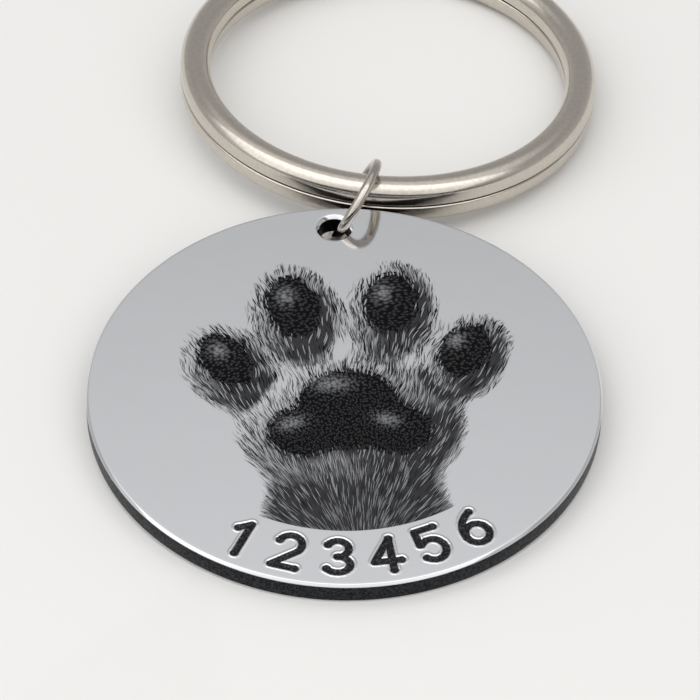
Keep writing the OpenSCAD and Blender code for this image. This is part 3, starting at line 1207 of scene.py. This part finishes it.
    def add_flats(self, shell: Shell, rim_radius: float, hole_radius: float, strip: np.ndarray) -> None:
        """Adds the bare metal of the face between the fine fields, and the back.

        Args:
            shell: The disc's shell.
            rim_radius: Radius of the face inside its rounded edge.
            hole_radius: Radius of the flat's edge round the hole.
            strip: Places of the stamped strip's points.
        """
        rim = circle(rim_radius, self.columns)
        hole = circle(hole_radius, self.hole_columns, (0.0, self.hole_middle))
        field_edge = circle(self.picture_radius, self.columns)
        strip_edge = np.concatenate([strip[:-1, 0], strip[-1, :-1], strip[:0:-1, -1], strip[0, :0:-1]])
        points, triangles = flat_fill([rim, hole, field_edge, strip_edge])
        middles = points[triangles].mean(axis=1)
        out = np.linalg.norm(middles, axis=1)
        angles = np.degrees(np.arctan2(middles[:, 1], middles[:, 0]))
        in_strip = (angles > self.band.first_angle) & (angles < self.band.last_angle)
        in_strip &= (out > self.band.inner_radius) & (out < self.band.outer_radius)
        in_hole = np.linalg.norm(middles - [0, self.hole_middle], axis=1) < hole_radius
        keep = (out > self.picture_radius * math.cos(math.pi / self.columns)) & ~in_strip & ~in_hole
        shell.add(self.lifted(points, self.thickness), triangles[keep].tolist())
        points, triangles = flat_fill([rim, hole])
        middles = points[triangles].mean(axis=1)
        keep = np.linalg.norm(middles - [0, self.hole_middle], axis=1) > hole_radius
        shell.add(self.lifted(points, 0.0), triangles[keep].tolist())

    def mark(self, disc: bpy.types.Object) -> None:
        """Stores the picture's shapes and tones on the face's points.

        Args:
            disc: The disc's object.
        """
        places = np.zeros(len(disc.data.vertices) * 3)
        disc.data.vertices.foreach_get("co", places)
        local = self.placement.fetch(places.reshape(-1, 3))
        below = local[:, 2] < self.thickness - self.mark_reach
        beyond = np.linalg.norm(local[:, :2], axis=1) > self.picture_radius + self.mark_reach
        layers = {
            SHAPES_LAYER: self.picture.shapes(local[:, :2]),
            TONES_LAYER: self.picture.tones(local[:, :2]),
        }
        for name, values in layers.items():
            # No fur, no skin, and outside both the pads and the cutting arc
            values[below | beyond] = (0.0, 0.0, -1.0)
            layer = disc.data.attributes.new(name, "FLOAT_VECTOR", "POINT")
            layer.data.foreach_set("vector", values.astype(np.float32).ravel())

    def build_enamel(self, name: str, stamp: Stamp, finish: bpy.types.Material) -> bpy.types.Object:
        """Builds the enamel that fills one numeral, as a closed solid bedded in the metal.

        Args:
            name: The piece's name.
            stamp: The blow that the enamel fills.
            finish: Its material.

        Returns:
            The enamel's object.
        """
        strip = self.band.grid()
        places = strip.reshape(-1, 2)
        away = self.band.distance(stamp, places)
        numbers = np.arange(len(places)).reshape(strip.shape[:2])
        covered = (away < self.band.half_stroke).reshape(strip.shape[:2])
        cells = np.all(cell_corners(covered), axis=0)
        used, quads = np.unique(np.stack(cell_corners(numbers), axis=-1)[cells], return_inverse=True)
        quads = quads.reshape(-1, 4)
        inward = self.band.half_stroke - away[used]
        sunk = self.band.fill_sink * smooth_share(0, self.band.fill_slope, inward)
        waves = self.band.skin * ripple(places[used], self.band.skin_wave)
        top = self.thickness - self.band.fill_drop - sunk + waves
        bottom = self.thickness - self.band.depth * stamp.force - self.band.bedding
        count = len(used)
        edges = dict.fromkeys((a, b) for quad in quads.tolist() for a, b in zip(quad, quad[1:] + quad[:1]))
        faces = quads.tolist() + (quads[:, ::-1] + count).tolist()
        faces += [(b, a, a + count, b + count) for a, b in edges if (b, a) not in edges]
        shell = Shell()
        shell.add(np.vstack([self.lifted(places[used], level) for level in (top, bottom)]), faces)
        return shell.build(name, self.placement, [finish])


@dataclass(frozen=True)
class BentWire(ABC):
    """A wire bent round the z axis of its own frame, with rounded cut ends.

    Sizes are in mm. Each kind of wire says where its ends are and what its outline is.
    """

    placement: Placement
    outer_diameter: float
    wire_width: float
    # Radius of the rounding at the cut ends
    cut_round: float
    # Outlines along the wire
    rows: int

    @property
    def radius(self) -> float:
        """Radius of the circle that the wire's middle follows."""
        return (self.outer_diameter - self.wire_width) / 2

    @abstractmethod
    def ends(self) -> tuple[float, float]:
        """Angles of the two cut ends."""

    @abstractmethod
    def outline(self, angle: float, shrink: float) -> np.ndarray:
        """Draws the wire's outline at an angle.

        Args:
            angle: Angle round the axis.
            shrink: How far the outline lies inside the full one.

        Returns:
            Points across and up the wire, one a row.
        """

    def bend(self, name: str, finish: bpy.types.Material) -> bpy.types.Object:
        """Builds the wire.

        Args:
            name: The piece's name.
            finish: Its material.

        Returns:
            The wire's object.
        """
        first, last = self.ends()
        stops = [
            (first + along * self.cut_round / self.radius, inward * self.cut_round)
            for along, inward in CUT_END_SHARES
        ]
        middle = [(angle, 0.0) for angle in np.linspace(first, last, self.rows)[1:-1]]
        stops += middle + [(last + first - angle, shrink) for angle, shrink in reversed(stops)]
        rings = []
        for angle, shrink in stops:
            across, up = self.outline(angle, shrink).T
            out = self.radius + across
            rings.append(np.column_stack([out * math.cos(angle), out * math.sin(angle), up]))
        shell = Shell()
        shell.add_grid(np.array(rings), ring=True)
        for cut in (rings[0], rings[-1]):
            shell.add(cut, [tuple(range(len(cut)))])
        return shell.build(name, self.placement, [finish])


@dataclass(frozen=True)
class JumpRing(BentWire):
    """One turn of round wire with its cut ends butted."""

    outer_diameter: float = 6.4
    wire_width: float = 0.65
    cut_round: float = 0.06
    rows: int = 220
    # The slit between the ends, and its angle from the lowest point in degrees
    slit: float = 0.08
    slit_turn: float = 10.0
    # Points round the wire
    columns: int = 40

    @classmethod
    def from_frame(cls, frame: dict) -> "JumpRing":
        """Works out the ring's middle and axis from the two hinges that it carries.


        Returns:
            The ring, placed where the solid is.
        """
        joints = {joint["name"]: joint for joint in frame["joints"]}
        middle = Vector(joints["split_ring_swing"]["pos_m"])
        halfway = Vector(joints["jump_ring_swing"]["axis"]).normalized()
        right = Vector((1, 0, 0))
        axis = (2 * halfway.dot(right) * halfway - right).normalized()
        down = (Vector((0, 0, -1)) + axis * axis.z).normalized()
        return cls(Placement(middle, down, axis.cross(down), axis))

    def build(self) -> None:
        """Builds and dresses the ring."""
        dress(self.bend("jump_wire", DRAWN_STEEL.build()), "jump_ring", "jump_ring")

    def ends(self) -> tuple[float, float]:
        """Angles of the two cut ends, either side of the slit."""
        half_slit = self.slit / 2 / self.radius
        first = math.radians(self.slit_turn) + half_slit
        return first, first + FULL_TURN - 2 * half_slit

    def outline(self, angle: float, shrink: float) -> np.ndarray:
        """The wire's round outline, which is the same at each angle."""
        return (self.wire_width / 2 - shrink) * circle(1.0, self.columns)


@dataclass(frozen=True)
class SplitRing(BentWire):
    """Two turns of one wire, with a stretch that climbs from the lower to the upper."""

    outer_diameter: float = 28.3
    wire_width: float = 2.0
    cut_round: float = 0.08
    rows: int = 560
    turn_height: float = 1.45
    slit: float = 0.1
    # Roundings of the wire's outer corners and of those at the slit, and the least one
    crown_round: float = 0.9
    seam_round: float = 0.14
    least_round: float = 0.05
    # How far round the climb goes, in degrees, and its distance from the cut ends
    climb: float = 28.0
    end_space: float = 0.8
    corner_steps: int = 11

    @classmethod
    def from_frame(cls, frame: dict) -> "SplitRing":
        """Reads the ring's middle and axis from its mount, and its way round from its hinge.


        Returns:
            The ring, placed where the solid is.
        """
        eye = next(m for m in frame["record"]["mounts"] if m["name"] == "split_ring_eye")
        hinge = next(j for j in frame["joints"] if j["name"] == "split_ring_swing")
        axis = Vector(eye["axis"]).normalized()
        away = axis.cross(Vector(hinge["axis"])).normalized()
        return cls(Placement(Vector(eye["pos_m"]), away, axis.cross(away), axis))

    def build(self) -> None:
        """Builds and dresses the ring."""
        wire = self.bend("split_wire", NICKEL_PLATE.build())
        dress(wire, "split_ring", "split_ring")

    def ends(self) -> tuple[float, float]:
        """Angles of the two cut ends, which lie nearly a turn either side of the climb."""
        climb = math.radians(self.climb)
        end = climb / 2 + FULL_TURN - climb - self.end_space / self.radius
        return -end, end

    def outline(self, angle: float, shrink: float) -> np.ndarray:
        """Draws the wire's outline, domed on its outer side and nearly square at the slit.

        Args:
            angle: Angle from the middle of the climb.
            shrink: How far the outline lies inside the full one.

        Returns:
            Points across the wire and up from the middle of the slit, one a row.
        """
        climb = math.radians(self.climb)
        upper = min(max((angle + climb / 2) / climb, 0), 1)
        half_w, half_h = self.wire_width / 2 - shrink, self.turn_height / 2 - shrink
        top = self.seam_round + (self.crown_round - self.seam_round) * upper
        bottom = self.crown_round + (self.seam_round - self.crown_round) * upper
        points = []
        for side_x, side_y, first in ((1, 1, 0), (-1, 1, 90), (-1, -1, 180), (1, -1, 270)):
            radius = max((top if side_y > 0 else bottom) - shrink, self.least_round)
            for turn in np.radians(first + np.linspace(0, 90, self.corner_steps)):
                x = side_x * (half_w - radius) + radius * math.cos(turn)
                points.append((x, side_y * (half_h - radius) + radius * math.sin(turn)))
        drop = (self.turn_height + self.slit) / 2 * math.cos(math.pi * upper)
        return np.array(points) - [0.0, drop]


@dataclass(frozen=True)
class Softbox:
    """A soft light that faces the object: its size in metres and its face's radiance."""

    name: str
    width: float
    height: float
    radiance: float
    # Its middle in metres, up in front and a little to the left
    place: tuple[float, float, float] = (-0.08, -0.21, 0.376)

    def build(self) -> None:
        """Builds the light."""
        lamp = bpy.data.lights.new(self.name, "AREA")
        lamp.shape = "RECTANGLE"
        lamp.size, lamp.size_y = self.width, self.height
        lamp.energy = self.radiance * math.pi * self.width * self.height
        light = bpy.data.objects.new(self.name, lamp)
        light.location = self.place
        light.rotation_mode = "QUATERNION"
        light.rotation_quaternion = Vector(self.place).to_track_quat("Z", "Y")
        light.visible_camera = False
        bpy.context.scene.collection.objects.link(light)


@dataclass(frozen=True)
class Studio:
    """The floor, the lights, the surrounding light and the camera."""

    floor_radius: float = 1.5
    floor_corners: int = 64
    softboxes: tuple[Softbox, ...] = (
        Softbox("key_softbox", 1.35, 0.75, 1.0),
        Softbox("wide_softbox", 2.4, 0.72, 0.22),
    )
    # Radiance of the surroundings by height above the horizon, degrees
    sky: tuple[tuple[float, float], ...] = (
        (0, 0.55),
        (35, 0.42),
        (42, 0.43),
        (47, 0.6),
        (58, 0.88),
        (90, 0.88),
    )
    # Share of that radiance that is left low in front, behind the camera
    front_share: float = 0.06
    # The y of a unit way at which that dimming is full, and the one at which it starts
    front_span: tuple[float, float] = (-0.9, -0.3)
    # The camera's place and clipping in metres, its turns in degrees, and its lens in mm
    camera_place: tuple[float, float, float] = (-0.009985, -0.168851, 0.153983)
    clip: tuple[float, float] = (0.01, 10.0)
    heading: float = 3.342
    dip: float = 43.817
    roll: float = -0.892
    lens: float = 180.0
    sensor: float = 36.0

    def build(self) -> None:
        """Builds everything that isn't the object."""
        self.build_floor()
        for softbox in self.softboxes:
            softbox.build()
        self.build_surroundings()
        self.build_camera()
        bpy.context.scene.view_settings.view_transform = "Standard"

    def build_floor(self) -> None:
        """Builds the plain floor that the object lies on."""
        rim = circle(self.floor_radius, self.floor_corners)
        mesh = bpy.data.meshes.new("floor")
        mesh.from_pydata([(x, y, 0.0) for x, y in rim], [], [tuple(range(len(rim)))])
        mesh.materials.append(StudioPaint().build())
        floor = bpy.data.objects.new("floor", mesh)
        bpy.context.scene.collection.objects.link(floor)

    def build_surroundings(self) -> None:
        """Lights the scene from all round: palest overhead, darkest low in front."""
        world = bpy.data.worlds.new("studio_surroundings")
        bpy.context.scene.world = world
        world.use_nodes = True
        tree = world.node_tree
        way = add_node(tree, "TexCoord").outputs["Generated"]
        way = add_node(tree, "SeparateXYZ", (way,))
        ramp = add_node(tree, "ValToRGB", (way.outputs["Z"],))
        stops = ramp.color_ramp.elements
        for angle, radiance in self.sky:
            place = math.sin(math.radians(angle))
            stop = next((s for s in stops if abs(s.position - place) < STOP_GAP), None) or stops.new(place)
            stop.color = (radiance, radiance, radiance, 1)
        spans = (way.outputs["Y"], *self.front_span, self.front_share)
        front = add_node(tree, "MapRange", spans, interpolation_type="SMOOTHSTEP")
        set_inputs(tree, tree.nodes["Background"], {"Color": ramp, "Strength": front})

    def build_camera(self) -> None:
        """Builds the camera at the photograph's viewing angle."""
        heading, dip, roll = (math.radians(a) for a in (self.heading, self.dip, self.roll))
        level_share = math.cos(dip)
        forward = Vector((math.sin(heading) * level_share, math.cos(heading) * level_share, -math.sin(dip)))
        level = Vector((math.cos(heading), -math.sin(heading), 0))
        down = forward.cross(level)
        right = level * math.cos(roll) + down * math.sin(roll)
        below = down * math.cos(roll) - level * math.sin(roll)
        data = bpy.data.cameras.new("camera")
        data.lens, data.sensor_width = self.lens, self.sensor
        data.clip_start, data.clip_end = self.clip
        camera = bpy.data.objects.new("camera", data)
        turn = Matrix((right, -below, -forward)).transposed().to_4x4()
        camera.matrix_world = Matrix.Translation(self.camera_place) @ turn
        bpy.context.scene.collection.objects.link(camera)
        bpy.context.scene.camera = camera


def main() -> None:
    """Builds the object's pieces in order, then the studio."""
    logging.basicConfig(level=logging.INFO, format="%(message)s")
    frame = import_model()

    for assembly in (TagDisc, JumpRing, SplitRing):
        assembly.from_frame(frame).build()
    Studio().build()


if __name__ == "__main__":
    main()
